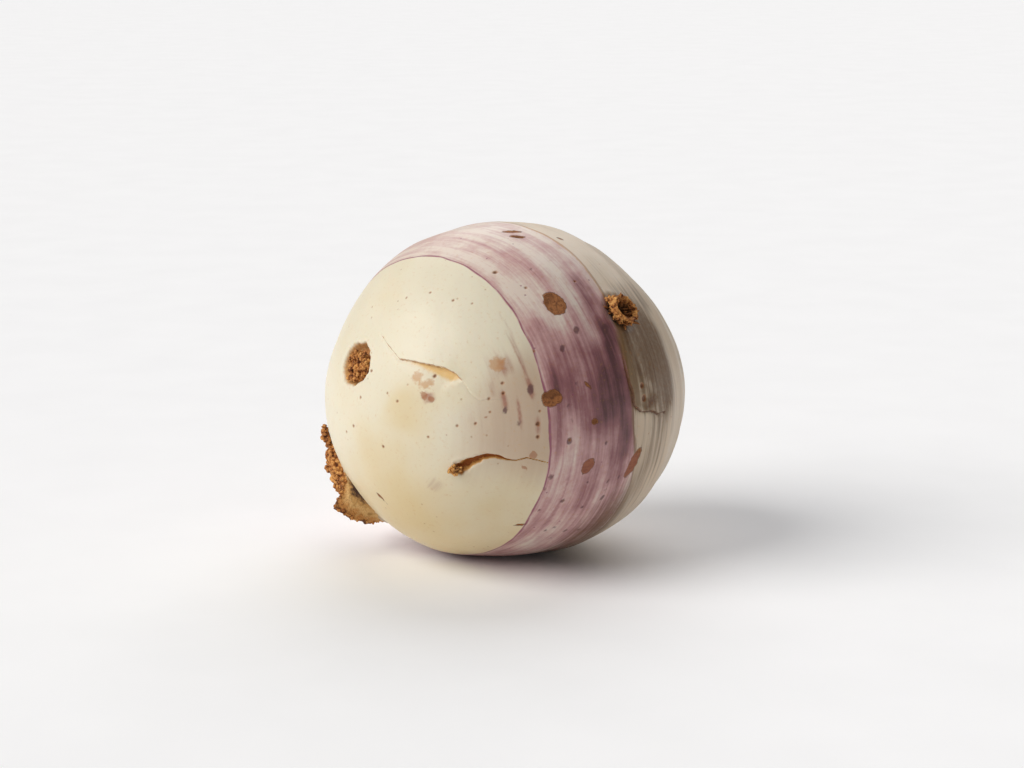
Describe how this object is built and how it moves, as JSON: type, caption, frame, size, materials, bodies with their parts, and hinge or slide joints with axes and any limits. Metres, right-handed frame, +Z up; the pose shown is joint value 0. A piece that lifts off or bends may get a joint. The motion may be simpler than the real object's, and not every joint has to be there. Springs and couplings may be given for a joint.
{
  "type": "turnip",
  "caption": "Round purple-topped turnip lying on its side, with a snapped tap root, a side root's stub, split skin and dried soil caught on it.",
  "frame": {"origin": "centre of the bounding box in plan, at the surface the turnip rests on", "axes": "+Z up, -Y towards the side seen in the picture, +X towards the purple shoulder and the crown, which points to +X +Y"},
  "size_m": [0.0818, 0.077, 0.0744],
  "materials": {
    "turnip_skin": "satin waxy cream skin with a purple band",
    "dried_soil": "dry crumbly orange-brown soil",
    "pale_soil": "dry crumbly tan soil"
  },
  "bodies": {
    "root": {"turnip_root": "turnip_skin", "soil_in_pit": "dried_soil", "soil_on_tap_root": "dried_soil", "soil_above_tap_root": "dried_soil", "soil_on_side_root": "pale_soil", "soil_in_crack": "pale_soil"}
  },
  "joints": []
}
